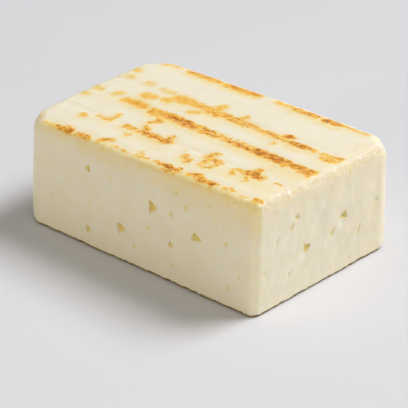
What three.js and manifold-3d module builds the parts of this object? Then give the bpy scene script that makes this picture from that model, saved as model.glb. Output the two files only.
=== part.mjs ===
// A block of halloumi, grilled on its top face: one piece of pressed curd.
// Millimetres, +Z up, X along the way the grill bars ran, origin under the middle of the base.
import * as THREE from "three";
import { mergeVertices } from "three/addons/utils/BufferGeometryUtils.js";
import Module from "manifold-3d";

// Driving dimensions: the plain box that the block is cut to.
const LENGTH = 100;
const WIDTH = 65;
const HEIGHT = 38;

// The four upright edges. Each lies towards one corner in plan, has a rounding radius, and stands
// a little off the plain box's corner: its foot in X and Y, and its head in X, Y and Z.
const UPRIGHT_EDGES = {
  near: { towards: [1, -1], radius: 2.5, foot: [-1.5, 0.3], head: [-0.4, 0.7, 0.2] },
  right: { towards: [1, 1], radius: 9.5, foot: [0.5, 4.5], head: [1.7, 0.9, -0.4] },
  far: { towards: [-1, 1], radius: 10, foot: [-0.5, 0], head: [-2.2, -0.3, 1] },
  left: { towards: [-1, -1], radius: 8.5, foot: [-2, -0.8], head: [-1.5, 1.4, -1.1] },
};

// Rounding along the four edges of the top, and along the cut base. Round an upright edge it passes
// to a share of that edge's radius, reached halfway round.
const TOP_ROUNDING = { front: 2.8, right: 2.4, back: 3.4, left: 5 };
const BASE_ROUNDING = 0.5;
const TOP_CORNER_SHARE = 0.6;
const BASE_CORNER_SHARE = 0.25;

// How far each side bows out along its length, the sides belly at half height, the top crowns,
// and the slow waves of a pressed surface rise and fall.
const BOW = { front: 0, right: 0, back: 0.8, left: 1.6 };
const BELLY = 0.6;
const CROWN = 0.4;
const WAVER = 0.1;
const WAVE_LENGTHS = [52, 37];
const WAVE_STARTS = [6, 11];

// The grill bars' middles along Y, and the shallow bed that each one pressed into the top.
// A bed runs out towards the ends of the block: the higher the power, the later.
const BAR_LINES = [30, 10, -3, -17, -29.5];
const BAR_WIDTH = 5;
const BAR_DEPTH = 0.3;
const BAR_RUN_OUT = 8;

// Grid of the skin: cells along X, Y and Z, drawn together towards the edges by a share of a sine.
const CELLS = [30, 40, 10];
const EDGE_PULL = 0.75;

// Eyes on the two faces that show best: along the face, height, width, how tall, and which way
// a corner points (degrees).
const FRONT_EYES = [
  [8.5, 23.8, 3, 3.4, 5],
  [-4.6, 11.9, 3, 2.8, 10],
  [26.6, 19.4, 3.4, 2.2, -12],
  [-19.5, 28, 1.8, 1.9, 60],
  [-19.3, 6.4, 2, 2, 20],
  [16.5, 13.5, 1.7, 1.9, 100],
];
const RIGHT_EYES = [
  [-11, 16, 2.8, 2.8, 250],
  [6, 21, 2.6, 3, 200],
  [0.5, 16.5, 1.4, 2.2, 240],
  [-17.8, 25.2, 1.2, 2.6, 240],
  [13.2, 13, 1.2, 2.6, 250],
];
// The other two sides have eyes spread evenly, clear of the edges.
const BACK_EYE_COUNT = 6;
const LEFT_EYE_COUNT = 5;
const EYE_MARGIN = 8;
const EYE_SIZES = [2.6, 1.7, 2.1];
const EYE_DEPTH = 0.45; // of an eye's mean width
const EYE_CORNERS = 3; // an eye is a rounded triangle, not a round bubble
const EYE_SHARPNESS = 3; // 1 leaves it nearly round, and more draws the corners out
const EYE_SPAN = 0.95; // from the middle to a flat side, of half the stated width
const EYE_ROUND = 12;
const EYE_RINGS = 6;

// Nicks where the cut edge of the base crumbled: how far apart along each side, and their sizes.
const NICK_SPACING = 8;
const NICK_SIZES = [0.5, 0.9];

// Two irrational steps whose multiples spread evenly without lining up.
const SPREAD_A = 0.7549;
const SPREAD_B = 0.5698;
const spread = (index, step) => (0.5 + index * step) % 1;

const CURD_COLOUR = 0xf3ebd2;
const CURD_ROUGHNESS = 0.45;
const HALF_LENGTH = LENGTH / 2;
const HALF_WIDTH = WIDTH / 2;

function uprightEdge(x, y) {
  if (x > 0) return y > 0 ? UPRIGHT_EDGES.right : UPRIGHT_EDGES.near;
  return y > 0 ? UPRIGHT_EDGES.far : UPRIGHT_EDGES.left;
}

// The plan's outline near (x, y): how far inside it the point lies, and the way out to it.
// In the quarter of an upright edge the square corner is first drawn round.
function roundInPlan(x, y) {
  const { radius } = uprightEdge(x, y);
  const overX = Math.abs(x) - (HALF_LENGTH - radius);
  const overY = Math.abs(y) - (HALF_WIDTH - radius);
  const inset = radius - Math.max(overX, overY);
  const out = new THREE.Vector2(overX > overY ? 1 : 0, overX > overY ? 0 : 1);
  const plan = new THREE.Vector2(Math.abs(x), Math.abs(y));
  if (overX > 0 && overY > 0) {
    out.set(overX, overY).normalize();
    plan.set(HALF_LENGTH - radius, HALF_WIDTH - radius).addScaledVector(out, radius - inset);
  }
  const sides = new THREE.Vector2(Math.sign(x) || 1, Math.sign(y) || 1);
  return { inset, out: out.multiply(sides), plan: plan.multiply(sides) };
}

// Rounding between an edge's own along its length and the corner's, halfway round an upright edge.
function edgeRounding(along, cornerShare, x, y, out) {
  const halfwayRound = (2 * out.x * out.y) ** 2;
  return THREE.MathUtils.lerp(along, cornerShare * uprightEdge(x, y).radius, halfwayRound);
}

function topRounding(x, y, out) {
  const alongX = out.x > 0 ? TOP_ROUNDING.right : TOP_ROUNDING.left;
  const alongY = out.y > 0 ? TOP_ROUNDING.back : TOP_ROUNDING.front;
  const along = out.x * out.x * alongX + out.y * out.y * alongY;
  return edgeRounding(along, TOP_CORNER_SHARE, x, y, out);
}

// Over the top's edge: points of the top and of the side that lie within its radius go onto an arc.
function overTopEdge({ inset, out, plan }, radius, z) {
  const inPlan = radius - inset;
  const inRise = radius - (HEIGHT - z);
  if (inPlan <= 0 || inRise <= 0) return new THREE.Vector3(plan.x, plan.y, z);
  const shrink = Math.max(inPlan, inRise) / Math.hypot(inPlan, inRise);
  plan.addScaledVector(out, inPlan * (shrink - 1));
  return new THREE.Vector3(plan.x, plan.y, HEIGHT - radius + inRise * shrink);
}

// Under the base's edge: the foot of the side turns in until it meets the flat base.
function underBaseEdge({ out, plan }, radius, z) {
  const turn = (Math.PI / 2) * Math.max(0, 1 - z / radius);
  plan.addScaledVector(out, radius * (Math.cos(turn) - 1));
  return new THREE.Vector3(plan.x, plan.y, Math.max(z, radius) - radius * Math.sin(turn));
}

// Rounds a point of the plain box's surface over its upright edge, and over the top's or base's edge.
function roundEdges(x, y, z) {
  const inPlan = roundInPlan(x, y);
  if (z > HEIGHT / 2) return overTopEdge(inPlan, topRounding(x, y, inPlan.out), z);
  return underBaseEdge(inPlan, edgeRounding(BASE_ROUNDING, BASE_CORNER_SHARE, x, y, inPlan.out), z);
}

// A bed 1 deep under the middle of each grill bar, fading to 0 half a bar's width away.
function barBed(y) {
  const nearest = Math.min(...BAR_LINES.map((line) => Math.abs(y - line)));
  return nearest < BAR_WIDTH / 2 ? Math.cos((Math.PI * nearest) / BAR_WIDTH) ** 2 : 0;
}

function waver(a, b) {
  const [long, short] = WAVE_LENGTHS;
  const [startA, startB] = WAVE_STARTS;
  const turnA = (2 * Math.PI * (a + startA)) / long;
  const turnB = (2 * Math.PI * (b + startB)) / short;
  return WAVER * Math.sin(turnA) * Math.cos(turnB);
}

// How far the four upright edges carry a point with them, each by its share in plan.
function lean(u, v, t) {
  const carried = new THREE.Vector3();
  for (const { towards, foot, head } of Object.values(UPRIGHT_EDGES)) {
    const share = ((1 + towards[0] * u) * (1 + towards[1] * v)) / 4;
    const offset = new THREE.Vector3(foot[0], foot[1], 0).lerp(new THREE.Vector3(...head), t);
    carried.addScaledVector(offset, share);
  }
  return carried;
}

// The block's own form: a point of the plain box's surface, rounded, leaning, bowed and wavering.
function blockPoint(x, y, z) {
  const p = roundEdges(x, y, z);
  const u = p.x / HALF_LENGTH;
  const v = p.y / HALF_WIDTH;
  const t = p.z / HEIGHT;
  const belly = BELLY * 4 * t * (1 - t);
  const bowX = (u > 0 ? BOW.right : BOW.left) + belly;
  const bowY = (v > 0 ? BOW.back : BOW.front) + belly;
  const moved = p.clone().add(lean(u, v, t));
  moved.x += u * (bowX * (1 - v * v) + waver(p.y, p.z));
  moved.y += v * (bowY * (1 - u * u) + waver(p.z, p.x));
  moved.z += t * (CROWN * (1 - u * u) * (1 - v * v) + waver(p.x, p.y));
  if (z === HEIGHT) moved.z -= BAR_DEPTH * barBed(p.y) * (1 - u ** BAR_RUN_OUT);
  return moved;
}

function pullToEdge(value, half) {
  const share = value / half;
  return half * ((1 - EDGE_PULL) * share + EDGE_PULL * Math.sin((Math.PI / 2) * share));
}

// The skin of the block: a box grid bent to the block's form. The flat base, the last side of
// the box, needs no grid, so it is left out and a fan from its middle closes it.
function blockGeometry() {
  const box = new THREE.BoxGeometry(LENGTH, WIDTH, HEIGHT, ...CELLS);
  const grid = box.getAttribute("position");
  const points = [];
  for (let i = 0; i < grid.count; i++) {
    const x = pullToEdge(grid.getX(i), HALF_LENGTH);
    const y = pullToEdge(grid.getY(i), HALF_WIDTH);
    const z = HEIGHT / 2 + pullToEdge(grid.getZ(i), HEIGHT / 2);
    points.push(blockPoint(x, y, z));
  }
  const base = box.groups.at(-1);
  const corners = Array.from(box.index.array.slice(0, base.start), (i) => points[i]);
  const rim = new Map();
  for (const i of box.index.array.slice(base.start)) {
    const onRim = Math.abs(grid.getX(i)) === HALF_LENGTH || Math.abs(grid.getY(i)) === HALF_WIDTH;
    if (onRim) rim.set(Math.atan2(points[i].y, points[i].x), points[i]);
  }
  const ring = [...rim].sort((a, b) => a[0] - b[0]).map((entry) => entry[1]);
  ring.forEach((point, i) => corners.push(new THREE.Vector3(), ring[(i + 1) % ring.length], point));
  return new THREE.BufferGeometry().setFromPoints(corners);
}

// The four sides: the plain box's point at a place along the side and a height, and the way out.
const SIDES = {
  front: { at: (along, height) => [along, -HALF_WIDTH, height], out: [0, -1, 0], length: LENGTH },
  right: { at: (along, height) => [HALF_LENGTH, along, height], out: [1, 0, 0], length: WIDTH },
  back: { at: (along, height) => [along, HALF_WIDTH, height], out: [0, 1, 0], length: LENGTH },
  left: { at: (along, height) => [-HALF_LENGTH, along, height], out: [-1, 0, 0], length: WIDTH },
};

function spreadEyes(count, length) {
  const room = length - 2 * EYE_MARGIN;
  const rise = HEIGHT - 2 * EYE_MARGIN;
  return Array.from({ length: count }, (_, i) => [
    (spread(i + 1, SPREAD_A) - 0.5) * room,
    EYE_MARGIN + spread(i + 1, SPREAD_B) * rise,
    EYE_SIZES[i % EYE_SIZES.length],
    EYE_SIZES[(i + 1) % EYE_SIZES.length],
    360 * spread(i, SPREAD_A),
  ]);
}

// How far a rounded triangle reaches at an angle (radians) from one of its corners.
function eyeReach(angle) {
  let sum = 0;
  for (let i = 0; i < EYE_CORNERS; i++) {
    const flatSide = ((2 * i + 1) * Math.PI) / EYE_CORNERS;
    sum += Math.max(0, Math.cos(angle - flatSide)) ** EYE_SHARPNESS;
  }
  return EYE_SPAN / sum ** (1 / EYE_SHARPNESS);
}

// The hollow of one eye, a ball drawn out to three corners and centred on the side's surface.
function eyeGeometry(side, [along, height, width, tall, turn]) {
  const ball = new THREE.SphereGeometry(1, EYE_ROUND, EYE_RINGS).rotateX(Math.PI / 2);
  const position = ball.getAttribute("position");
  const depth = (EYE_DEPTH * (width + tall)) / 2;
  for (let i = 0; i < position.count; i++) {
    const angle = Math.atan2(position.getY(i), position.getX(i));
    const reach = Math.hypot(position.getX(i), position.getY(i)) * eyeReach(angle);
    const turned = angle + THREE.MathUtils.degToRad(turn);
    const across = (Math.cos(turned) * reach * width) / 2;
    const rise = (Math.sin(turned) * reach * tall) / 2;
    position.setXYZ(i, across, rise, position.getZ(i) * depth);
  }
  const up = new THREE.Vector3(0, 0, 1);
  const out = new THREE.Vector3(...side.out);
  const acrossSide = new THREE.Vector3().crossVectors(up, out);
  const place = blockPoint(...side.at(along, height));
  const onSide = new THREE.Matrix4().makeBasis(acrossSide, up, out).setPosition(place);
  return ball.applyMatrix4(onSide);
}

// The nicks of one side, one in each stretch of its base edge, shifted and sized unevenly.
function nickGeometries(side) {
  const count = Math.floor(side.length / NICK_SPACING);
  return Array.from({ length: count }, (_, i) => {
    const along = (i + spread(i, SPREAD_A) - count / 2) * NICK_SPACING;
    const size = THREE.MathUtils.lerp(...NICK_SIZES, spread(i, SPREAD_B));
    const place = blockPoint(...side.at(along, 0));
    return new THREE.OctahedronGeometry(size).rotateZ(i).translate(place.x, place.y, place.z);
  });
}

const MERGE_DISTANCE = 1e-4;
const wasm = await Module();
wasm.setup();

function toSolid(geometry) {
  const bare = geometry.clone();
  bare.deleteAttribute("normal");
  bare.deleteAttribute("uv");
  const merged = mergeVertices(bare, MERGE_DISTANCE);
  return new wasm.Manifold(
    new wasm.Mesh({
      numProp: 3,
      vertProperties: merged.getAttribute("position").array,
      triVerts: new Uint32Array(merged.index.array),
    }),
  );
}

function toGeometry(solid) {
  const { vertProperties, triVerts } = solid.getMesh();
  const geometry = new THREE.BufferGeometry();
  geometry.setAttribute("position", new THREE.BufferAttribute(vertProperties, 3));
  geometry.setIndex(new THREE.BufferAttribute(triVerts, 1));
  geometry.computeVertexNormals();
  return geometry;
}

const eyesBySide = {
  front: FRONT_EYES,
  right: RIGHT_EYES,
  back: spreadEyes(BACK_EYE_COUNT, LENGTH),
  left: spreadEyes(LEFT_EYE_COUNT, WIDTH),
};
let curd = toSolid(blockGeometry());
for (const [name, side] of Object.entries(SIDES)) {
  for (const eye of eyesBySide[name]) curd = curd.subtract(toSolid(eyeGeometry(side, eye)));
  for (const nick of nickGeometries(side)) curd = curd.subtract(toSolid(nick));
}

// The block's box is brought over the origin, so that it stands on the middle of its base.
const blockShape = toGeometry(curd);
blockShape.computeBoundingBox();
const middle = blockShape.boundingBox.getCenter(new THREE.Vector3());
blockShape.translate(-middle.x, -middle.y, 0);

const curdMaterial = new THREE.MeshStandardMaterial({
  color: CURD_COLOUR,
  roughness: CURD_ROUGHNESS,
  metalness: 0,
});
const block = new THREE.Mesh(blockShape, curdMaterial);
block.name = "halloumi_block";

const halloumi = new THREE.Group();
halloumi.add(block);
export default halloumi;
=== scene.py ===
from math import cos, pi, radians, sin

import bpy
import numpy as np
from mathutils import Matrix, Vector, noise


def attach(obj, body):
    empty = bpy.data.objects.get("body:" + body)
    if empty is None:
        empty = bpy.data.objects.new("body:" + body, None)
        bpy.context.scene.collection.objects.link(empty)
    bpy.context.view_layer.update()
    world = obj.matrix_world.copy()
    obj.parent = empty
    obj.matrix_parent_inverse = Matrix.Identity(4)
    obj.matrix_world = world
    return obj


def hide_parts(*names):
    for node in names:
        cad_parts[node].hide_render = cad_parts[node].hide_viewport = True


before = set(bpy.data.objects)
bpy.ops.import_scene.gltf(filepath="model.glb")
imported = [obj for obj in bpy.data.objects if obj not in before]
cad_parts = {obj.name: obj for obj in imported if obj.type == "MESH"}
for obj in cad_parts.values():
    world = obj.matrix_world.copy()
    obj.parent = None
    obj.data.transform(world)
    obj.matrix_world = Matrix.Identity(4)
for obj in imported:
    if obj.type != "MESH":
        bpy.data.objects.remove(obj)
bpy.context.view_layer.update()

# The curd block
# A whole halloumi: milk curd pressed to a slab, cooked, folded, brined and cut to an oblong block.
# It is one piece, pale ivory, moist and springy, with small eyes in its cut sides, a crumbled lower
# edge, and golden to brown bars where a grill seared the top.

# The block's form in millimetres: the plain box it was cut to, and how each upright edge stands off it.
mm = 0.001
length, width, height = 100.0, 65.0, 38.0
half_length, half_width = length / 2, width / 2
upright_edges = {
    "near": {"towards": (1, -1), "radius": 2.5, "foot": (-1.5, 0.3, 0.0), "head": (-0.4, 0.7, 0.2)},
    "right": {"towards": (1, 1), "radius": 9.5, "foot": (0.5, 4.5, 0.0), "head": (1.7, 0.9, -0.4)},
    "far": {"towards": (-1, 1), "radius": 10.0, "foot": (-0.5, 0.0, 0.0), "head": (-2.2, -0.3, 1.0)},
    "left": {"towards": (-1, -1), "radius": 8.5, "foot": (-2.0, -0.8, 0.0), "head": (-1.5, 1.4, -1.1)},
}
top_rounding = {"front": 2.8, "right": 2.4, "back": 3.4, "left": 5.0}
base_rounding = 0.5
top_corner_share = 0.6
base_corner_share = 0.25
bow = {"front": 0.0, "right": 0.0, "back": 0.8, "left": 1.6}
belly = 0.6
crown = 0.4
waver_height = 0.1
wave_lengths = (52.0, 37.0)
wave_starts = (6.0, 11.0)
bar_lines = (30.0, 10.0, -3.0, -17.0, -29.5)
bar_width = 5.0
bar_depth = 0.3
bar_run_out = 8


def of_quarter(x, y, fact):
    """A fact of the upright edge in whose quarter of the plan each point lies."""
    near, right, far, left = (edge[fact] for edge in upright_edges.values())
    return np.where(x > 0, np.where(y > 0, right, near), np.where(y > 0, far, left))


def blended(a, b, share):
    return a + (b - a) * share


def round_edges(x, y, z):
    """Rounds points of the plain box's surface over its upright edges and its top and base edges."""
    radius = of_quarter(x, y, "radius")
    over_x = np.abs(x) - (half_length - radius)
    over_y = np.abs(y) - (half_width - radius)
    inset = radius - np.maximum(over_x, over_y)
    corner = (over_x > 0) & (over_y > 0)
    reach = np.where(corner, np.hypot(over_x, over_y), 1.0)
    out_x = np.where(corner, over_x / reach, over_x > over_y)
    out_y = np.where(corner, over_y / reach, over_x <= over_y)
    plan_x = np.where(corner, half_length - radius + out_x * (radius - inset), np.abs(x))
    plan_y = np.where(corner, half_width - radius + out_y * (radius - inset), np.abs(y))
    along = out_x**2 * np.where(x > 0, top_rounding["right"], top_rounding["left"])
    along = along + out_y**2 * np.where(y > 0, top_rounding["back"], top_rounding["front"])
    halfway_round = (2 * out_x * out_y) ** 2
    at_top = blended(along, top_corner_share * radius, halfway_round)
    at_base = blended(base_rounding, base_corner_share * radius, halfway_round)
    in_plan = np.maximum(at_top - inset, 0)
    in_rise = np.maximum(at_top - (height - z), 0)
    rounded = (in_plan > 0) & (in_rise > 0)
    shrink = np.maximum(in_plan, in_rise) / np.where(rounded, np.hypot(in_plan, in_rise), 1.0)
    turn_under = pi / 2 * np.clip(1 - z / at_base, 0, 1)
    outward = np.where(rounded, in_plan * (shrink - 1), at_base * (np.cos(turn_under) - 1))
    rise = np.maximum(z, at_base) - at_base * np.sin(turn_under)
    rise = np.where(rounded, height - at_top + in_rise * shrink, rise)
    side_x = np.where(x < 0, -1.0, 1.0)
    side_y = np.where(y < 0, -1.0, 1.0)
    return side_x * (plan_x + out_x * outward), side_y * (plan_y + out_y * outward), rise


def waver(a, b):
    """Slow waves of a pressed surface."""
    turn_a = 2 * pi * (a + wave_starts[0]) / wave_lengths[0]
    turn_b = 2 * pi * (b + wave_starts[1]) / wave_lengths[1]
    return waver_height * np.sin(turn_a) * np.cos(turn_b)


def bar_bed(y):
    """1 under the middle of a grill bar, fading to 0 half a bar's width away."""
    nearest = np.min([np.abs(y - line) for line in bar_lines], axis=0)
    return np.where(nearest < bar_width / 2, np.cos(pi * nearest / bar_width) ** 2, 0.0)


def curd_form(x, y, z):
    """The block's own form: points of the plain box's surface, rounded, leaning, bowed and wavering."""
    px, py, pz = round_edges(x, y, z)
    u, v, t = px / half_length, py / half_width, pz / height
    lean = np.zeros((len(px), 3))
    for edge in upright_edges.values():
        share = (1 + edge["towards"][0] * u) * (1 + edge["towards"][1] * v) / 4
        foot, head = np.array(edge["foot"]), np.array(edge["head"])
        lean += share[:, None] * blended(foot, head, t[:, None])
    swell = belly * 4 * t * (1 - t)
    bow_x = np.where(u > 0, bow["right"], bow["left"]) + swell
    bow_y = np.where(v > 0, bow["back"], bow["front"]) + swell
    moved_x = px + u * (bow_x * (1 - v**2) + waver(py, pz))
    moved_y = py + v * (bow_y * (1 - u**2) + waver(pz, px))
    moved_z = pz + t * (crown * (1 - u**2) * (1 - v**2) + waver(px, py))
    moved_z = moved_z - np.where(z == height, bar_depth * bar_bed(py) * (1 - u**bar_run_out), 0.0)
    return np.stack([moved_x, moved_y, moved_z], axis=1) + lean


# The skin: a fine grid over the box's top and sides, finer towards the edges, closed by a fan underneath.
cells = (200, 160, 84)
edge_pull = (0.3, 0.3, 0.45)


def grid_steps(count, half, pull):
    share = np.linspace(-1, 1, count + 1)
    return half * ((1 - pull) * share + pull * np.sin(pi / 2 * share))


steps = [grid_steps(*facts) for facts in zip(cells, (half_length, half_width, height / 2), edge_pull)]
steps[2] = steps[2] + height / 2
steps[2][-1] = height
lattice = np.full([count + 1 for count in cells], -1)
for axis in range(3):
    for end in (0, -1):
        lattice[(slice(None),) * axis + (end,)] = 0
lattice[1:-1, 1:-1, 0] = -1
places = np.argwhere(lattice == 0)
lattice[tuple(places.T)] = np.arange(len(places))
box_points = [steps[axis][places[:, axis]] for axis in range(3)]
skin = curd_form(*box_points)


def quads_of(sheet, flipped):
    quads = np.stack([sheet[:-1, :-1], sheet[1:, :-1], sheet[1:, 1:], sheet[:-1, 1:]], axis=-1)
    quads = quads.reshape(-1, 4)
    return quads[:, ::-1] if flipped else quads


faces = [
    quads_of(lattice[:, :, -1], False),
    quads_of(lattice[:, 0, :], False),
    quads_of(lattice[:, -1, :], True),
    quads_of(lattice[0, :, :], True),
    quads_of(lattice[-1, :, :], False),
]
faces = [tuple(quad) for quad in np.concatenate(faces)]
foot_loop = np.concatenate([
    lattice[:-1, 0, 0],
    lattice[-1, :-1, 0],
    lattice[:0:-1, -1, 0],
    lattice[0, :0:-1, 0],
])
underside = len(skin)
skin = np.concatenate([skin, [[0.0, 0.0, 0.0]]])
faces += [(underside, after, before) for before, after in zip(foot_loop, np.roll(foot_loop, -1))]
middle = (skin.min(axis=0) + skin.max(axis=0)) / 2
middle[2] = 0.0


lump_fall = 1.0
lump_step = 2.0


def lumps(points, size, layers, start):
    """Even unevenness of about that size (mm) at each point, from about -1 to 1, in layers that each are
    finer and weaker by a step. The start says which stretch of the pattern is used."""
    shift = Vector((start,) * 3)
    return np.array([noise.fractal(Vector(p) / size + shift, lump_fall, lump_step, layers) for p in points])


def smooth_step(low, high, value):
    share = np.clip((value - low) / (high - low), 0, 1)
    return share * share * (3 - 2 * share)


# Sear marks on the top, in millimetres along X and Y: each grill bar's line, and the runs on it where the
# curd touched the bar, as start, end, how far off the line, width and how hard it was seared.
seared_bars = [
    {"line": (29.8, 29.8), "runs": [
        (-46, -43, -1.0, 2.0, 0.35), (-42, -38, 0.2, 2.2, 0.35), (-32, -21, 0.2, 3.2, 0.66),
        (-16, -3, 0.2, 3.4, 0.7), (6, 12, 0.2, 2.6, 0.42), (14, 22, -0.2, 3.2, 0.56),
        (19, 22, 0.4, 2.4, 0.68), (26, 31, 0.0, 3.4, 0.7), (33, 42, 0.4, 2.4, 0.4)]},
    {"line": (11.3, 8.4), "runs": [
        (-20, -17, -0.2, 5.4, 0.48), (-15, 11, 0.0, 3.8, 0.52), (-6, -2, -1.2, 3.0, 0.55),
        (11, 22, -0.2, 3.4, 0.52), (19, 29, -1.0, 2.4, 0.5), (29, 33.5, -0.6, 3.2, 0.64),
        (30, 32, -1.6, 2.4, 0.55), (35, 38, -0.2, 2.6, 0.55), (42, 48, -0.4, 3.6, 0.42),
        (43, 46, -2.6, 3.0, 0.36), (46, 48.5, 1.2, 2.0, 0.66)]},
    {"line": (-1.6, -4.2), "runs": [
        (-33, -25, 0.4, 3.6, 0.46), (-29, -26, 0.6, 4.2, 0.5), (-20, -14, -0.3, 4.2, 0.58),
        (-15, 8, -0.2, 4.2, 0.58), (-13, -4, 0.9, 2.4, 0.8), (8, 16, -0.2, 4.0, 0.42),
        (15, 25, -0.2, 4.2, 0.62), (24, 37, 0.0, 4.4, 0.7), (25, 34, 1.0, 2.2, 0.78),
        (36, 40, 0.2, 4.0, 0.64), (42, 47.5, 0.4, 3.6, 0.64), (44, 47, -1.6, 3.0, 0.5)]},
    {"line": (-16.4, -16.4), "runs": [
        (-31, -26, 0.0, 1.8, 0.42), (-19, 0, 0.0, 3.0, 0.5), (-10, -1, -0.2, 3.4, 0.6)]},
    {"line": (-29.2, -29.2), "runs": [
        (-42, -39, -0.4, 1.4, 0.36), (-37, -31, -0.5, 2.4, 0.58), (-34, -32, 0.6, 2.3, 0.72),
        (-28, -23, -0.4, 2.1, 0.57), (-12, -5, 0.0, 1.4, 0.34), (-2, 2, 0.2, 1.8, 0.4),
        (5.5, 8, 0.3, 2.0, 0.6), (9.8, 15.2, 0.2, 2.2, 0.8), (19, 23, 0.4, 1.9, 0.55),
        (21, 23, 1.4, 2.0, 0.6), (24, 30, 0.1, 2.2, 0.72), (34, 37.5, 0.2, 1.9, 0.45),
        (41, 43, 0.0, 1.2, 0.3), (46, 48.2, 0.2, 2.0, 0.62)]},
]
# Stray marks between the bars: from x and y, to x and y, width and how hard.
stray_marks = [
    (-37, 13.5, -36, 13.5, 2.6, 0.3), (-29, 12.5, -25, 12.0, 2.4, 0.27), (-22.5, 6.8, -21, 6.4, 2.8, 0.48),
    (-46.5, 13.5, -45, 13.3, 2.4, 0.29), (-5, 12, -4.8, 15.0, 2.6, 0.54), (5, 11.5, 6, 13.4, 2.4, 0.56),
    (24.5, 10.8, 26, 11.2, 3.0, 0.62), (-48.5, 0.2, -46.5, -0.2, 2.6, 0.32),
    (-39.5, -0.5, -38.5, 1.0, 2.6, 0.36), (-30.5, 5.0, -28, 5.2, 4.0, 0.44),
    (-9.5, 4.6, -8.2, 5.6, 3.0, 0.38), (25, 3.0, 25.2, 5.0, 1.4, 0.34),
    (-12.6, -6.6, -14.8, -9.8, 2.4, 0.52), (-13, -13, -11.5, -15, 2.4, 0.5),
    (-26.8, -11.8, -26.6, -16, 1.8, 0.44), (-1.2, -13, -0.8, -17.5, 2.2, 0.56),
    (-36, -18.4, -35.2, -19, 2.2, 0.48), (-14, -20.5, -13.4, -21, 2.0, 0.45),
    (7.5, -17.5, 8, -17.8, 1.8, 0.26), (17, -13.5, 16.4, -17, 2.6, 0.5),
    (16.5, -17, 21.5, -17.2, 2.6, 0.52), (18.2, -18, 18.6, -22.5, 2.6, 0.45),
    (21.6, -17, 22, -21.5, 2.4, 0.47), (19, -22.5, 21, -23, 1.8, 0.34), (11, -20.8, 13.4, -22.6, 3.0, 0.5),
    (28.5, -17, 38.5, -16.4, 2.4, 0.48), (34.2, -13.4, 34.8, -16, 3.0, 0.6),
    (32, -16.8, 37.5, -17.2, 3.4, 0.64), (34.6, -19, 35.4, -21.6, 2.0, 0.45),
    (29.2, -19.6, 29.8, -20.8, 2.2, 0.5), (43, -16.8, 45, -16.6, 1.6, 0.38),
    (-18.5, -29.0, -15, -26.6, 2.2, 0.48), (-18, -28, -17, -28.4, 2.4, 0.5),
    (-1.8, -27, -0.6, -28, 1.8, 0.36), (-49, 19, -47, 18.6, 2.6, 0.34), (-48.6, -6, -46.8, -6.4, 2.2, 0.34),
]
# Stains: broad soft yellowing between the marks, from x and y, to x and y, how far it reaches, how strong.
heat_stains = [
    (34, -9.0, 45, -9.0, 4.5, 0.56), (22, -21, 43, -21.5, 4.0, 0.5), (-13, -21, 2, -21.5, 3.5, 0.3),
    (-24, 5, 2, 4, 3.5, 0.3), (-44, -4, -26, -4, 3.5, 0.28), (-46, 29, 44, 29, 3.0, 0.14),
    (-42, -31.5, 47, -31.5, 3.4, 0.55), (47, -26, 48, 26, 4.5, 0.16), (-14, -8, 22, -8, 3.0, 0.26),
]
# How marks end: how ragged they are along and across the bars, with which lumps, and where their cores,
# crisp or soft rims and glow fade (mm past the edge). Rims and glow lie a little towards the front.
mark_raggedness = (0.95, 0.65)
ragged_along = (2.4, 3, 5.1)
ragged_across = (1.8, 3, 9.7)
core_fade = (-0.7, 0.4)
crisp_fade = np.array([-0.4, 1.7])
soft_fade = np.array([-1.8, 2.6])
soft_side = 0.5
glow_side = 1.8
glow_fade = (-0.8, 3.2)
core_share = 0.65
crisp_from = (-38.0, 6.0)
glow_strength = 2.4
seared_rise = (height - 3.2, height - 1.4)
seared_end = (half_length - 2.2, half_length - 0.6)


def off_stroke(points, x0, y0, x1, y1):
    along = np.array([x1 - x0, y1 - y0])
    offset = points[:, :2] - (x0, y0)
    share = np.clip(offset @ along / (along @ along), 0, 1)
    return np.linalg.norm(offset - share[:, None] * along, axis=1)


def crispness(x, y):
    """Marks are soft at the far left, where the bars barely touched, and crisp towards the near corner."""
    return smooth_step(*crisp_from, x - y)


def seared(points):
    """How hard each point of the top is seared, and the glow of heat round it, both from 0 to 1."""
    ragged = points.copy()
    ragged[:, 0] += mark_raggedness[0] * lumps(points, *ragged_along)
    ragged[:, 1] += mark_raggedness[1] * lumps(points, *ragged_across)
    strokes = list(stray_marks)
    for bar in seared_bars:
        for start, end, off, wide, hard in bar["runs"]:
            ends = [np.interp(x, (-half_length, half_length), bar["line"]) + off for x in (start, end)]
            strokes.append((start, ends[0], end, ends[1], wide, hard))
    sear = np.zeros(len(points))
    glow = np.zeros(len(points))
    shifted = ragged + (0.0, soft_side, 0.0)
    sunken = ragged + (0.0, glow_side, 0.0)
    for *stroke, wide, hard in strokes:
        x0, y0, x1, y1 = stroke
        crisp = crispness((x0 + x1) / 2, (y0 + y1) / 2)
        core = 1 - smooth_step(*core_fade, off_stroke(ragged, *stroke) - wide / 2)
        soft = off_stroke(shifted, *stroke) - wide / 2
        faded = 1 - smooth_step(*blended(soft_fade, crisp_fade, crisp), soft)
        mark = blended(faded, core, core_share * crisp)
        sear = np.maximum(sear, hard * mark)
        halo = 1 - smooth_step(*glow_fade, off_stroke(sunken, *stroke) - wide / 2)
        glow = np.maximum(glow, glow_strength * hard**2 * halo)
    for *stroke, reach, strength in heat_stains:
        glow = np.maximum(glow, strength * np.exp(-((off_stroke(ragged, *stroke) / reach) ** 2)))
    top = smooth_step(*seared_rise, points[:, 2]) * (1 - smooth_step(*seared_end, points[:, 0]))
    return sear * top, glow * top


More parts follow.
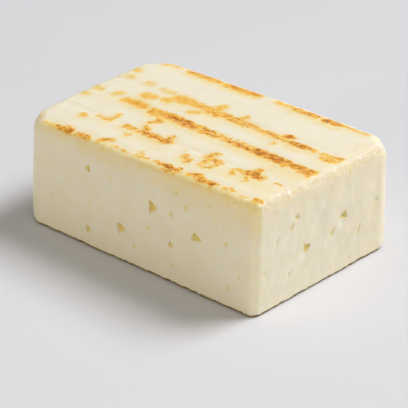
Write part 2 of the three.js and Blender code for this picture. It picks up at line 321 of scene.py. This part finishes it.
# The eyes: small three-cornered hollows that gas and whey left in the curd, cut open on the four sides.
# Each side is a place in its plane, the way out of it, and the way its eyes run out (degrees). Each eye is
# its place along the side, height, width, how tall, and which way a corner points (degrees).
sides = {
    "front": {"plane": (0, -half_width), "out": (0, -1, 0), "runs_out": 330},
    "right": {"plane": (half_length, 0), "out": (1, 0, 0), "runs_out": 235},
    "back": {"plane": (0, half_width), "out": (0, 1, 0), "runs_out": 210},
    "left": {"plane": (-half_length, 0), "out": (-1, 0, 0), "runs_out": 300},
}
front_eyes = [
    (8.5, 23.8, 3.0, 3.4, 5), (-4.6, 11.9, 3.0, 2.8, 10), (26.6, 19.4, 3.4, 2.2, -12),
    (-19.5, 28.0, 1.8, 1.9, 60), (-19.3, 6.4, 2.0, 2.0, 20), (16.5, 13.5, 1.7, 1.9, 100),
]
right_eyes = [(-11.0, 16.0, 2.8, 2.8, 250), (6.0, 21.0, 2.6, 3.0, 200)]
# The back and left end don't show, so their eyes are spread evenly, clear of the edges. Depths are shares
# of an eye's mean width. A dip moves its floor away from where it runs out, and a slope (mm) leads in there.
back_eye_count = 6
left_eye_count = 5
eye_margin = 8.0
eye_sizes = (2.6, 1.7, 2.1)
eye_depth = {"front": 0.45, "right": 0.23, "back": 0.45, "left": 0.45}
eye_corners = 3
eye_sharpness = 3
eye_span = 0.72
eye_round = 24
eye_rings = 14
eye_flare = 0.4
eye_lip = 0.28
eye_dip = {"front": 0.5, "right": -0.3, "back": 0.5, "left": 0.5}
eye_raggedness = 0.2
eye_lump_size = 0.8
eye_lump_layers = 2
eye_slope = {"front": 0.15, "right": 0.35, "back": 0.2, "left": 0.2}
eye_slope_off = (0.45, 0.55)
eye_slope_size = 0.7
spread_a, spread_b = 0.7549, 0.5698


def spread(index, step):
    return (0.5 + index * step) % 1


def spread_places(first, count, side_length):
    """Places along a side and heights that spread evenly without lining up."""
    for i in range(first, first + count):
        along = (spread(i, spread_a) - 0.5) * (side_length - 2 * eye_margin)
        yield i, along, eye_margin + spread(i, spread_b) * (height - 2 * eye_margin)


def hidden_eyes(count, side_length):
    found = []
    for i, along, rise in spread_places(1, count, side_length):
        wide = eye_sizes[(i - 1) % len(eye_sizes)]
        tall = eye_sizes[i % len(eye_sizes)]
        found.append((along, rise, wide, tall, 360 * spread(i - 1, spread_a)))
    return found


def eye_reach(angle):
    """How far a rounded triangle reaches at an angle from one of its corners."""
    total = 0.0
    for i in range(eye_corners):
        flat_side = (2 * i + 1) * pi / eye_corners
        total = total + np.maximum(0.0, np.cos(angle - flat_side)) ** eye_sharpness
    return eye_span / total ** (1 / eye_sharpness)


def eye_place(side, along, rise):
    """Where an eye opens on a side of the block, and the directions across and out of that side."""
    out = np.array(side["out"], float)
    across = np.cross((0, 0, 1), out)
    on_box = np.array([*side["plane"], rise]) + np.abs(across) * along
    return curd_form(*on_box[:, None])[0], across, out


def eye_hollow(side_name, along, rise, wide, tall, turn):
    """One eye's hollow as points (mm) and faces: a ball drawn out to three corners, flared at its lip, that
    dips in away from the way it runs out, a little ragged."""
    side = sides[side_name]
    place, across, out = eye_place(side, along, rise)
    place = place + out * relief(place[None])[0]
    up = np.array((0.0, 0.0, 1.0))
    runs_out = radians(side["runs_out"])
    runs_towards = across * cos(runs_out) + up * sin(runs_out)
    depth = eye_depth[side_name] * (wide + tall) / 2
    points = []
    for ring in range(eye_rings + 1):
        polar = pi * ring / eye_rings
        lip = 1 + eye_flare * np.exp(-((cos(polar) / eye_lip) ** 2))
        dip = eye_dip[side_name] * max(0.0, -cos(polar)) * depth
        middle_of_ring = place + out * cos(polar) * depth - runs_towards * dip
        for step in range(1 if ring in (0, eye_rings) else eye_round):
            angle = 2 * pi * step / eye_round
            flat = sin(polar) * eye_reach(angle) * lip / 2
            turned = angle + radians(turn)
            aside = across * cos(turned) * flat * wide + up * sin(turned) * flat * tall
            points.append(middle_of_ring + aside)
    points = np.array(points)
    swell = 1 + eye_raggedness * lumps(points, eye_lump_size, eye_lump_layers, along)
    points = place + (points - place) * swell[:, None]
    last = len(points) - 1
    faces = []
    for step in range(eye_round):
        after = (step + 1) % eye_round
        faces.append((0, 1 + step, 1 + after))
        for ring in range(eye_rings - 2):
            row = 1 + ring * eye_round
            faces.append((row + step, row + eye_round + step, row + eye_round + after, row + after))
        row = last - eye_round
        faces.append((row + step, last, row + after))
    return points, faces


eyes = [("front", *eye) for eye in front_eyes]
eyes += [("right", *eye) for eye in right_eyes]
eyes += [("back", *eye) for eye in hidden_eyes(back_eye_count, length)]
eyes += [("left", *eye) for eye in hidden_eyes(left_eye_count, width)]

# Pinholes: finer eyes that only dimple the skin, as places along a side and heights.
back_pinhole_count = 16
left_pinhole_count = 8
back_pinholes = spread_places(back_eye_count + 1, back_pinhole_count, length)
left_pinholes = spread_places(left_eye_count + 1, left_pinhole_count, width)
pinholes = {
    "front": [
        (18.0, 32.0), (-18.5, 16.5), (7.0, 16.0), (34.1, 27.0), (22.0, 28.0), (31.1, 31.7), (1.0, 7.5),
        (-35.5, 32.0), (38.1, 21.3), (-10.0, 27.5), (17.0, 6.5), (-35.9, 13.3), (16.1, 24.0), (43.6, 12.0),
        (39.4, 6.8), (-13.9, 33.0),
    ],
    "right": [(-15.5, 28.0), (-29.0, 14.0), (22.0, 20.0)],
    "back": [(along, rise) for _, along, rise in back_pinholes],
    "left": [(along, rise) for _, along, rise in left_pinholes],
}
pinhole_sizes = (0.8, 0.75, 0.7, 0.75)
pinhole_depths = (0.55, 0.35, 0.5, 0.3)
pinhole_tint = 2.0

# Dimples of the skin: side, along it, height, half width, half length, how far it leans from upright
# (degrees), depth, and how golden it is, or below 0 how strongly a highlight is painted on it. The right end
# has slits where curds knit badly, each with a painted highlight run below it, and broad soft dents.
dimple_reach = 3.0
dimples = [
    ("right", -17.8, 25.2, 0.65, 1.5, 30, 0.55, 0.7), ("right", -20.0, 22.6, 0.7, 1.2, 35, 0.12, -0.6),
    ("right", -23.8, 22.7, 0.55, 1.4, 25, 0.45, 0.6), ("right", -25.2, 20.2, 0.6, 1.0, 25, 0.1, -0.5),
    ("right", 0.5, 16.5, 0.85, 1.3, 40, 0.6, 0.9), ("right", -1.6, 14.2, 0.9, 1.1, 40, 0.15, -0.7),
    ("right", 13.2, 13.0, 0.6, 1.7, 25, 0.45, 0.6), ("right", 11.8, 9.8, 0.7, 1.2, 25, 0.12, -0.7),
    ("right", -18.3, 9.4, 0.55, 1.0, 30, 0.5, 0.65), ("right", -19.6, 7.4, 0.7, 0.8, 30, 0.12, -0.7),
    ("right", -0.5, 32.0, 0.6, 2.2, 30, 0.3, 0.35), ("right", -3.6, 28.4, 0.8, 1.2, 10, 0.12, -0.8),
    ("right", 9.5, 3.2, 0.5, 1.0, 20, 0.4, 0.45), ("right", -27.5, 14.0, 1.0, 1.6, 25, 0.2, 0.2),
    ("right", -12.3, 13.3, 0.8, 1.1, 15, 0.1, -1.0), ("right", 4.6, 18.3, 0.8, 1.1, 15, 0.1, -1.0),
    ("right", -6.0, 22.0, 3.0, 5.0, 30, 0.3, 0.0), ("right", 20.0, 17.0, 2.5, 5.0, 20, 0.3, 0.05),
    ("right", 22.0, 28.0, 2.5, 4.0, 30, 0.3, 0.08), ("right", -15.0, 31.0, 2.5, 3.0, 30, 0.2, 0.12),
    ("right", 4.0, 8.0, 3.0, 4.0, 30, 0.3, 0.0), ("right", 6.0, 30.0, 2.0, 4.0, 25, 0.3, 0.12),
]
for side_name, spots in pinholes.items():
    for i, (along, rise) in enumerate(spots):
        size = pinhole_sizes[i % len(pinhole_sizes)]
        deep = pinhole_depths[i % len(pinhole_depths)]
        dimples.append((side_name, along, rise, size, size, 0, deep, pinhole_tint * deep))


def off_side(points, side_name, along, rise):
    """How far points lie in behind a side's skin at a place on it, and their distances across and up."""
    place, across, out = eye_place(sides[side_name], along, rise)
    offset = points - place
    return -(offset @ out), offset @ np.abs(across), offset[:, 2]


def dimple_share(points, side_name, along, rise, wide, tall, lean):
    """1 in the middle of a dimple of the skin, fading to 0 round it."""
    behind, across, up = off_side(points, side_name, along, rise)
    lean = radians(lean)
    over = across * cos(lean) - up * sin(lean)
    upward = across * sin(lean) + up * cos(lean)
    return (behind < dimple_reach) * np.exp(-((over / wide) ** 2) - (upward / tall) ** 2)


# Relief of the skin: how high each kind of unevenness stands (mm), the size, layers and start of its lumps,
# and the places between which it fades.
skin_unevenness = 0.04
skin_lumps = (3.0, 3, 1.3)
pressed_unevenness = 0.09
pressed_lumps = (11.0, 2, 3.9)
crust_relief = 0.14
crust_lumps = (0.9, 2, 7.7)
right_unevenness = 0.1
right_lumps = (4.0, 2, 4.4)
right_skin = (half_length - 3.5, half_length - 2.0)
edge_relief = 0.22
edge_lumps = (1.4, 2, 8.8)
edge_rise = (height - 4.0, height - 2.0)
edge_inset = (1.0, 4.0)
edge_crumble = 0.55
crumble_lumps = (1.9, 2, 2.2)
crumble_fade = (0.12, 0.5)
crumble_rise = (0.2, 1.2)
crumble_side = (0.9, 0.97)


def relief(points):
    """How far out of the form (mm) the skin stands at each point."""
    x, y, z = points.T
    out = skin_unevenness * lumps(points, *skin_lumps) + pressed_unevenness * lumps(points, *pressed_lumps)
    sear, _ = seared(points)
    out += crust_relief * sear * lumps(points, *crust_lumps)
    out += right_unevenness * smooth_step(*right_skin, x) * lumps(points, *right_lumps)
    for side_name, along, rise, wide, tall, _ in eyes:
        size = (wide + tall) / 2
        runs_out = radians(sides[side_name]["runs_out"])
        behind, across, up = off_side(points, side_name, along, rise)
        across = across - eye_slope_off[0] * size * cos(runs_out)
        up = up - eye_slope_off[1] * size * sin(runs_out)
        aside = np.hypot(across, up) / (eye_slope_size * size)
        out -= eye_slope[side_name] * (behind < size) * np.exp(-(aside**2))
    for *dimple, deep, _ in dimples:
        out -= deep * dimple_share(points, *dimple)
    inset = np.minimum(half_length - np.abs(x), half_width - np.abs(y))
    at_top_edge = smooth_step(*edge_rise, z) * (1 - smooth_step(*edge_inset, inset))
    out += edge_relief * at_top_edge * lumps(points, *edge_lumps)
    outermost = np.maximum(np.abs(x) / half_length, np.abs(y) / half_width)
    at_foot = smooth_step(*crumble_side, outermost) * (1 - smooth_step(*crumble_rise, z))
    return out - edge_crumble * at_foot * smooth_step(*crumble_fade, lumps(points, *crumble_lumps))


block_mesh = bpy.data.meshes.new("halloumi")
block_mesh.from_pydata(skin.tolist(), [], faces)
normals = np.empty(len(skin) * 3)
block_mesh.vertex_normals.foreach_get("vector", normals)
normals = normals.reshape(-1, 3)
grounded = np.concatenate([places[:, 2] == 0, [True]])
normals[grounded, 2] = 0.0
skin = skin + normals * relief(skin)[:, None]
skin[underside] = 0.0
block_mesh.vertices.foreach_set("co", ((skin - middle) * mm).ravel())
block_mesh.update()
halloumi = bpy.data.objects.new("halloumi", block_mesh)
bpy.context.scene.collection.objects.link(halloumi)

hollow_points, hollow_faces, first = [], [], 0
for side_name, *eye in eyes:
    points, eye_faces = eye_hollow(side_name, *eye)
    hollow_points.append(points)
    hollow_faces += [tuple(first + i for i in face) for face in eye_faces]
    first += len(points)
hollow_mesh = bpy.data.meshes.new("eye_hollows")
hollow_mesh.from_pydata(((np.concatenate(hollow_points) - middle) * mm).tolist(), [], hollow_faces)
hollows = bpy.data.objects.new("eye_hollows", hollow_mesh)
bpy.context.scene.collection.objects.link(hollows)
carving = halloumi.modifiers.new("eyes", "BOOLEAN")
carving.operation = "DIFFERENCE"
carving.solver = "MANIFOLD"
carving.object = hollows
carved = bpy.data.meshes.new_from_object(halloumi.evaluated_get(bpy.context.evaluated_depsgraph_get()))
halloumi.modifiers.clear()
halloumi.data = carved
carved.name = "halloumi"
bpy.data.objects.remove(hollows)
sharp_angle = radians(50)
for polygon in carved.polygons:
    polygon.use_smooth = True
carved.set_sharp_from_angle(angle=sharp_angle)

# How the finish varies over the skin, kept on its points. First yellowing: each drip from the top edge is
# its place, run and width (mm), partly butterfat and partly painted glow of light shining through the edge.
# The same painted glow yellows the shaded front's upper band, and fat has also spread over the upper right
# side and the right end's far part.
drips_and_glow = [
    (-38.0, 3.0, 1.5), (-30.5, 4.5, 1.6), (-22.6, 7.0, 0.8), (-22.6, 4.0, 1.8), (-15.0, 4.5, 2.2),
    (2.4, 5.5, 1.2), (-2.0, 3.5, 2.0), (9.5, 3.5, 1.6), (15.5, 4.0, 2.0), (23.0, 3.5, 2.0),
    (31.0, 4.5, 3.0), (37.5, 6.0, 1.2), (36.0, 4.0, 2.5), (46.5, 6.5, 1.2),
]
right_drip = (9.7, 7.0, 0.5)
drip_strength = 0.9
front_drip_fade = 0.3
right_drip_fade = 0.5
most_glow = 0.75
front_facing = (0.05, 0.5)
right_facing = (0.35, 0.85)
fat_and_glow_raggedness = 2.0
front_glow_paint = 0.58
front_glow_runs = (9.0, 16.0)
front_glow_along = (0.0, 36.0)
front_glow_lumps = (5.0, 2, 6.1)
right_fat = 0.16
right_fat_run = (2.0, 14.0)
right_fat_lumps = (5.0, 2, 7.3)
far_fat = 0.13
far_fat_along = (0.0, 22.0)
surface = np.empty(len(carved.vertices) * 3)
carved.vertices.foreach_get("co", surface)
surface = surface.reshape(-1, 3) / mm + middle
facing = np.empty(len(carved.vertices) * 3)
carved.vertex_normals.foreach_get("vector", facing)
facing = facing.reshape(-1, 3)
below_top = height - surface[:, 2]
on_front = smooth_step(*front_facing, -facing[:, 1])
on_right = smooth_step(*right_facing, facing[:, 0])


def drip_share(places, along, run, wide, fade):
    """1 down the middle of a drip, fading to 0 at its sides and at the end of its run."""
    return np.exp(-(((places - along) / wide) ** 2)) * (1 - smooth_step(fade * run, run, below_top))


sear, glow = seared(surface)
yellowing_and_painted_glow = np.clip(glow, 0, most_glow)
for drip in drips_and_glow:
    dripped = on_front * drip_share(surface[:, 0], *drip, front_drip_fade)
    yellowing_and_painted_glow = np.maximum(yellowing_and_painted_glow, drip_strength * dripped)
dripped = on_right * drip_share(surface[:, 1], *right_drip, right_drip_fade)
yellowing_and_painted_glow = np.maximum(yellowing_and_painted_glow, drip_strength * dripped)
# The shaded front's upper band: painted glow of light shining through the top edge, as yellowing.
front_run = blended(*front_glow_runs, smooth_step(*front_glow_along, surface[:, 0]))
ragged_drop = below_top + fat_and_glow_raggedness * lumps(surface, *front_glow_lumps)
upper_front_glow = on_front * (1 - smooth_step(0.0, front_run, ragged_drop))
yellowing_and_painted_glow = np.maximum(yellowing_and_painted_glow, front_glow_paint * upper_front_glow)
ragged_drop = below_top + fat_and_glow_raggedness * lumps(surface, *right_fat_lumps)
upper_right = on_right * (1 - smooth_step(*right_fat_run, ragged_drop))
yellowing_and_painted_glow = np.maximum(yellowing_and_painted_glow, right_fat * upper_right)
yellowing_and_painted_glow = np.maximum(yellowing_and_painted_glow, far_fat * on_right * smooth_step(*far_fat_along, surface[:, 1]))

# The right top rim, darkened as painted shade: 1 where its rounding faces half up and half out, with painted
# glints along it.
glint_strength = 0.7
glint_fade = (0.25, 0.65)
glint_lumps = (1.5, 3, 3.3)
near_head, right_head = (np.array(upright_edges[name]["head"]) for name in ("near", "right"))
rim_line = blended(near_head, right_head, (surface[:, 1] / width + 0.5)[:, None])
from_end = np.clip(top_rounding["right"] - half_length - rim_line[:, 0] + surface[:, 0], 0, None)
from_top = np.clip(top_rounding["right"] - height - rim_line[:, 2] + surface[:, 2], 0, None)
painted_rim = np.sin(2 * np.arctan2(from_top, from_end))
painted_highlight = glint_strength * painted_rim * smooth_step(*glint_fade, lumps(surface, *glint_lumps))

# Golden eyes and dimples, painted highlight runs below them, and how near an edge thins the curd.
eye_edge_fade = (0.75, 1.05)
eye_sunk_fade = (0.1, 0.35)
thin_fade = (0.5, 9.0)
in_eye = np.zeros(len(surface))
for side_name, along, rise, wide, tall, turn in eyes:
    behind, across, up = off_side(surface, side_name, along, rise)
    across, up = across / wide, up / tall
    opening = eye_reach(np.arctan2(up, across) - radians(turn)) * (1 + eye_flare) / 2
    inside = 1 - smooth_step(*eye_edge_fade, np.hypot(across, up) / opening)
    sunk = smooth_step(*eye_sunk_fade, behind) * (behind < wide + tall)
    in_eye = np.maximum(in_eye, inside * sunk)
for *dimple, _, tint in dimples:
    share = dimple_share(surface, *dimple)
    in_eye = np.maximum(in_eye, tint * share)
    painted_highlight = np.maximum(painted_highlight, -tint * share)
to_planes = np.stack([
    half_length - np.abs(surface[:, 0]),
    half_width - np.abs(surface[:, 1]),
    below_top,
])
to_edge = np.linalg.norm(np.sort(to_planes, axis=0)[:2], axis=0)
kept_values = {
    "sear": sear,
    "crisp": crispness(surface[:, 0], surface[:, 1]),
    "yellowing_and_painted_glow": yellowing_and_painted_glow,
    "in_eye": in_eye,
    "painted_highlight": painted_highlight,
    "painted_rim": painted_rim,
    "thin": 1 - smooth_step(*thin_fade, to_edge),
}
for name, values in kept_values.items():
    kept = carved.attributes.new(name, "FLOAT", "POINT")
    kept.data.foreach_set("value", values.astype(np.float32))

# Grilled curd: moist, slightly see-through ivory with faint mottling, golden to dark brown where seared.
ivory = (0.905, 0.825, 0.625, 1.0)
pale_ivory = (0.920, 0.850, 0.665, 1.0)
# Butter and glow yellow: butterfat and heat yellowing, and the painted glow on the shaded front.
butter_and_glow_yellow = (0.930, 0.715, 0.280, 1.0)
# Rim shade: painted shade for the right top rim, where light falls hardest.
rim_shade = (0.740, 0.655, 0.495, 1.0)
# Highlight white: the colour of painted highlights.
highlight_white = (0.970, 0.940, 0.800, 1.0)
eye_gold = (0.890, 0.735, 0.245, 1.0)
# Foot shade brown: painted contact shade at the foot, along with a damp line.
foot_shade_brown = (0.240, 0.160, 0.030, 1.0)
sear_colours = [
    (0.00, (0.900, 0.810, 0.580, 1.0)),
    (0.15, (0.920, 0.745, 0.390, 1.0)),
    (0.31, (0.925, 0.620, 0.165, 1.0)),
    (0.48, (0.920, 0.500, 0.080, 1.0)),
    (0.72, (0.760, 0.290, 0.030, 1.0)),
    (1.00, (0.480, 0.135, 0.012, 1.0)),
]
fleck_brown = (0.420, 0.125, 0.012, 1.0)
# Crust glint gold: the colour of painted glints on the crust.
crust_glint_gold = (0.970, 0.790, 0.400, 1.0)
curd_refraction = 1.42
light_reach_by_colour = (1.0, 0.74, 0.3)

# Grains of the finish are a size (mm), layers of detail, roughness and how far drawn out along the bars.
# Ranges are where a value starts and stops counting, and what it gives there.
grain_middle = 0.5
mottle_grain = (7.0, 3.0)
mottle_range = (0.35, 0.65)
yellowing_grain = (1.6, 3.0)
yellowing_range = (0.25, 0.7, 0.55, 1.15)
patch_grain = (2.4, 2.0)
patch_range = (0.3, 0.7, 0.75, 1.25)
sear_grain = (0.8, 2.0, 0.6, 2.2)
sear_grain_range = (0.0, 0.25)
sear_grain_strength = 1.4
crust_range = (0.0, 0.2)
fleck_grain = (0.5, 2.0, 0.5, 3.0)
fleck_range = (0.73, 0.8, 0.0, 0.85)
fleck_crust_range = (0.25, 0.45)
fleck_crust_share = 0.3
speck_grain = (0.6, 1.0)
speck_range = (0.6, 0.66)
speck_crust_range = (0.3, 0.5, 0.0, 0.75)
eye_range = (0.0, 1.0, 0.0, 0.9)
foot_grain = (1.5, 3.0)
foot_raggedness = 0.9 * mm
foot_shade_range = (0.55 * mm, 1.05 * mm, 0.95, 0.0)
gloss_range = (0.1, 0.4, 0.2, 0.06)
shine_grain = (3.0, 3.0)
shine_range = (0.3, 0.7, 0.3, 0.44)
least_see_through = 0.4
thin_see_through = 0.55
crust_see_through = (0.1, 0.5, 1.0, 0.2)
light_reach_range = (0.0, 1.0, 1.0 * mm, 4.5 * mm)
skin_grain = (0.9, 4.0)
skin_bump_height = 0.1 * mm
skin_bump_strength = 0.06
crust_bump_height = 0.12 * mm
grilled_curd = bpy.data.materials.new("grilled_curd")
grilled_curd.use_nodes = True
nodes = grilled_curd.node_tree.nodes
links = grilled_curd.node_tree.links
finish = nodes["Principled BSDF"]
finish.inputs["Subsurface Radius"].default_value = light_reach_by_colour
finish.inputs["IOR"].default_value = curd_refraction
place_node = nodes.new("ShaderNodeTexCoord")


def kept_value(name):
    """A value that the skin's points keep."""
    node = nodes.new("ShaderNodeAttribute")
    node.attribute_name = name
    return node.outputs["Fac"]


def speckle(size, detail, roughness=0.55, stretch=1.0):
    """Cloudy unevenness of about that size (mm), around 0.5, drawn out along X by the stretch."""
    mapping = nodes.new("ShaderNodeMapping")
    mapping.inputs["Scale"].default_value = (1 / stretch, 1.0, 1.0)
    node = nodes.new("ShaderNodeTexNoise")
    node.inputs["Scale"].default_value = 1 / (size * mm)
    node.inputs["Detail"].default_value = detail
    node.inputs["Roughness"].default_value = roughness
    links.new(place_node.outputs["Object"], mapping.inputs["Vector"])
    links.new(mapping.outputs["Vector"], node.inputs["Vector"])
    return node.outputs["Fac"]


def worked(operation, first, second, limit=False):
    """A sum, difference or product of two values, held between 0 and 1 where there is a limit."""
    node = nodes.new("ShaderNodeMath")
    node.operation = operation
    node.use_clamp = limit
    for socket, value in zip(node.inputs, (first, second)):
        if isinstance(value, float):
            socket.default_value = value
        else:
            links.new(value, socket)
    return node.outputs["Value"]


def ranged(value, low, high, to_low=0.0, to_high=1.0):
    """A value eased from one range to another."""
    node = nodes.new("ShaderNodeMapRange")
    node.interpolation_type = "SMOOTHSTEP"
    for name, number in (("From Min", low), ("From Max", high), ("To Min", to_low), ("To Max", to_high)):
        node.inputs[name].default_value = number
    links.new(value, node.inputs["Value"])
    return node.outputs["Result"]


# Where a mix of two colours takes its share and its colours, and where it gives the mix.
mix_share = 0
mix_colours = (6, 7)
mix_result = 2


def coloured(share, first, second):
    """A colour that goes from the first to the second as the share goes from 0 to 1."""
    node = nodes.new("ShaderNodeMix")
    node.data_type = "RGBA"
    links.new(share, node.inputs[mix_share])
    for socket, value in zip(mix_colours, (first, second)):
        if isinstance(value, tuple):
            node.inputs[socket].default_value = value
        else:
            links.new(value, node.inputs[socket])
    return node.outputs[mix_result]


mottling = ranged(speckle(*mottle_grain), *mottle_range)
curd_colour = coloured(mottling, ivory, pale_ivory)
# The right top rim is darkened: painted shade where light falls hardest on its rounding.
curd_colour = coloured(kept_value("painted_rim"), curd_colour, rim_shade)
patchy_yellowing = ranged(speckle(*yellowing_grain), *yellowing_range)
yellow_share = worked("MULTIPLY", kept_value("yellowing_and_painted_glow"), patchy_yellowing, True)
# Yellowing from butterfat and heat, and painted glow of light shining through the edge onto the shaded
# front.
curd_colour = coloured(yellow_share, curd_colour, butter_and_glow_yellow)

# The crust: patches a few millimetres across, a grain drawn out along the bars, dark flecks, and pale specks
# that are painted glints.
sear_value = kept_value("sear")
crisp_value = kept_value("crisp")
crust_patches = ranged(speckle(*patch_grain), *patch_range)
crust_grain = speckle(*sear_grain)
in_mark = worked("MULTIPLY", ranged(sear_value, *sear_grain_range), crisp_value)
grain_lift = worked("SUBTRACT", crust_grain, grain_middle)
grain_lift = worked("MULTIPLY", grain_lift, worked("MULTIPLY", in_mark, sear_grain_strength))
crust = worked("ADD", worked("MULTIPLY", sear_value, crust_patches), grain_lift, True)
ramp = nodes.new("ShaderNodeValToRGB")
stops = ramp.color_ramp.elements
while len(stops) < len(sear_colours):
    stops.new(0.5)
for stop, (position, colour) in zip(stops, sear_colours):
    stop.position = position
    stop.color = colour
links.new(crust, ramp.inputs["Fac"])
curd_colour = coloured(ranged(crust, *crust_range), curd_colour, ramp.outputs["Color"])
fleck_height = worked("ADD", speckle(*fleck_grain), worked("MULTIPLY", crust, fleck_crust_share))
flecks = worked("MULTIPLY", ranged(fleck_height, *fleck_range), ranged(crust, *fleck_crust_range))
flecks = worked("MULTIPLY", flecks, crisp_value)
curd_colour = coloured(flecks, curd_colour, fleck_brown)
# Pale specks in the crust: painted glints standing for highlights on its bumps.
crust_glints = ranged(speckle(*speck_grain), *speck_range)
crust_glints = worked("MULTIPLY", crust_glints, ranged(crust, *speck_crust_range))
curd_colour = coloured(crust_glints, curd_colour, crust_glint_gold)

# Golden eyes, a ragged dark line at the foot that is painted contact shade along with a damp line, and
# painted highlight runs and glints.
curd_colour = coloured(ranged(kept_value("in_eye"), *eye_range), curd_colour, eye_gold)
rise_above_floor = nodes.new("ShaderNodeSeparateXYZ")
links.new(place_node.outputs["Object"], rise_above_floor.inputs["Vector"])
foot_lift = worked("SUBTRACT", speckle(*foot_grain), grain_middle)
foot_lift = worked("MULTIPLY", foot_lift, foot_raggedness)
ragged_rise = worked("ADD", rise_above_floor.outputs["Z"], foot_lift)
# The lowest skin darkens to brown: painted contact shade under the rounded foot, along with a damp line.
curd_colour = coloured(ranged(ragged_rise, *foot_shade_range), curd_colour, foot_shade_brown)
# Painted highlights: whiter runs below the right end's slits and glints along its top rim.
curd_colour = coloured(kept_value("painted_highlight"), curd_colour, highlight_white)
links.new(curd_colour, finish.inputs["Base Color"])

# Gloss, how far light passes through, and the finest unevenness of the skin and the crust.
links.new(ranged(crust, *gloss_range), finish.inputs["Specular IOR Level"])
links.new(ranged(speckle(*shine_grain), *shine_range), finish.inputs["Roughness"])
thin_value = kept_value("thin")
see_through = worked("ADD", worked("MULTIPLY", thin_value, thin_see_through), least_see_through)
see_through = worked("MULTIPLY", see_through, ranged(crust, *crust_see_through))
links.new(see_through, finish.inputs["Subsurface Weight"])
links.new(ranged(thin_value, *light_reach_range), finish.inputs["Subsurface Scale"])
skin_bump = nodes.new("ShaderNodeBump")
skin_bump.inputs["Distance"].default_value = skin_bump_height
skin_bump.inputs["Strength"].default_value = skin_bump_strength
links.new(speckle(*skin_grain), skin_bump.inputs["Height"])
crust_bump = nodes.new("ShaderNodeBump")
crust_bump.inputs["Distance"].default_value = crust_bump_height
links.new(worked("MULTIPLY", crust, crust_grain), crust_bump.inputs["Height"])
links.new(skin_bump.outputs["Normal"], crust_bump.inputs["Normal"])
links.new(crust_bump.outputs["Normal"], finish.inputs["Normal"])
carved.materials.clear()
carved.materials.append(grilled_curd)
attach(halloumi, "root")
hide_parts("halloumi_block")

# The floor
# A plain pale sweep of matt studio paper, seamless and far wider than the block, which stands on it.
# It is there for the picture alone and isn't part of the object.
floor_reach = 3.0
floor_grey = (0.72, 0.72, 0.735, 1.0)
floor_roughness = 0.85
floor_gloss = 0.2
floor_mesh = bpy.data.meshes.new("floor")
corners = [(-floor_reach, -floor_reach, 0), (floor_reach, -floor_reach, 0)]
corners += [(floor_reach, floor_reach, 0), (-floor_reach, floor_reach, 0)]
floor_mesh.from_pydata(corners, [], [(0, 1, 2, 3)])
floor = bpy.data.objects.new("floor", floor_mesh)
bpy.context.scene.collection.objects.link(floor)
pale_paper = bpy.data.materials.new("pale_paper")
pale_paper.use_nodes = True
paper = pale_paper.node_tree.nodes["Principled BSDF"]
paper.inputs["Base Color"].default_value = floor_grey
paper.inputs["Roughness"].default_value = floor_roughness
paper.inputs["Specular IOR Level"].default_value = floor_gloss
floor_mesh.materials.append(pale_paper)

# The light
# Soft studio light: a large panel high behind and to the right, a small one low at the right, a warmer one
# low at the front left, and an even pale surround.
surround_colour = (1.0, 0.99, 0.98, 1.0)
surround_strength = 0.28
panels = {
    "key_panel": {
        "at": (1.08, 1.86, 2.9), "aim": (0.1, -0.5, 0.0), "size": 1.8, "spread": 80,
        "watts": 26.4, "colour": (1.0, 1.0, 1.03),
    },
    "right_panel": {
        "at": (0.95, -0.3, 0.24), "aim": (0.0, 0.0, 0.02), "size": 0.36, "spread": 180,
        "watts": 1.02, "colour": (1.0, 0.97, 0.88),
    },
    "front_panel": {
        "at": (-0.3, -0.98, 0.26), "aim": (0.0, 0.0, 0.02), "size": 0.36, "spread": 180,
        "watts": 1.97, "colour": (1.0, 0.875, 0.615),
    },
}
scene = bpy.context.scene
surround = bpy.data.worlds.new("surround")
surround.use_nodes = True
surround_shade = surround.node_tree.nodes["Background"]
surround_shade.inputs["Color"].default_value = surround_colour
surround_shade.inputs["Strength"].default_value = surround_strength
scene.world = surround
for name, facts in panels.items():
    light = bpy.data.lights.new(name, "AREA")
    light.size = facts["size"]
    light.spread = radians(facts["spread"])
    light.energy = facts["watts"]
    light.color = facts["colour"]
    panel = bpy.data.objects.new(name, light)
    panel.location = facts["at"]
    panel.rotation_euler = (Vector(facts["aim"]) - panel.location).to_track_quat("-Z", "Y").to_euler()
    scene.collection.objects.link(panel)
scene.view_settings.view_transform = "Standard"

# The camera
# Stands off the near upright edge and looks down on the block, long lens, as a pack shot is taken.
azimuth, elevation = radians(42.07), radians(27.01)
camera_distance = 518.6 * mm
camera_target = Vector((2.23, -2.91, 11.83)) * mm - Vector(middle) * mm
frame_pixels, focal_pixels = 408, 1600
sensor_width = 36.0
lens = bpy.data.cameras.new("camera")
lens.sensor_width = sensor_width
lens.lens = sensor_width * focal_pixels / frame_pixels
camera = bpy.data.objects.new("camera", lens)
towards_camera = Vector((sin(azimuth) * cos(elevation), -cos(azimuth) * cos(elevation), sin(elevation)))
camera.location = camera_target + towards_camera * camera_distance
camera.rotation_euler = towards_camera.to_track_quat("Z", "Y").to_euler()
scene.collection.objects.link(camera)
scene.camera = camera
